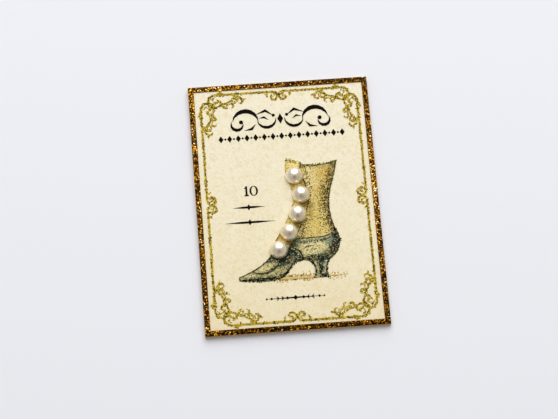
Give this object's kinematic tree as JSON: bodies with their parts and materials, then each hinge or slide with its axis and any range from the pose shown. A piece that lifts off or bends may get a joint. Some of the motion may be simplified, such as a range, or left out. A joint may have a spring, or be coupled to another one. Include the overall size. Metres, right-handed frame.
{
  "type": "card of buttons",
  "caption": "Small printed display card edged with glitter, with flat-backed half-pearl buttons glued in a row down the front of a printed boot.",
  "frame": {"origin": "centre of the card's back face", "axes": "+X across the card to the right of its printed face, +Y to the head of the card, +Z out of the printed face"},
  "size_m": [0.0396, 0.0564, 0.0031],
  "materials": {
    "card_stock": "matt cream board",
    "glitter": "bronze and gold glitter",
    "gilt_ink": "dull gold ink",
    "flap_ink": "pale yellow ink",
    "leg_ink": "tan ink",
    "foot_ink": "grey-green ink",
    "key_ink": "green-black ink",
    "ground_ink": "faint tan ink",
    "black_ink": "black ink",
    "pearl": "pearl lacquer"
  },
  "bodies": {
    "root": {"card": "card_stock", "glitter_border": "glitter", "gilt_scroll_frame": "gilt_ink", "boot_flap_print": "flap_ink", "boot_leg_print": "leg_ink", "boot_foot_print": "foot_ink", "boot_line_print": "key_ink", "ground_print": "ground_ink", "black_ornament_print": "black_ink", "pearl_button_1": "pearl", "pearl_button_2": "pearl", "pearl_button_3": "pearl", "pearl_button_4": "pearl", "pearl_button_5": "pearl"}
  },
  "joints": []
}
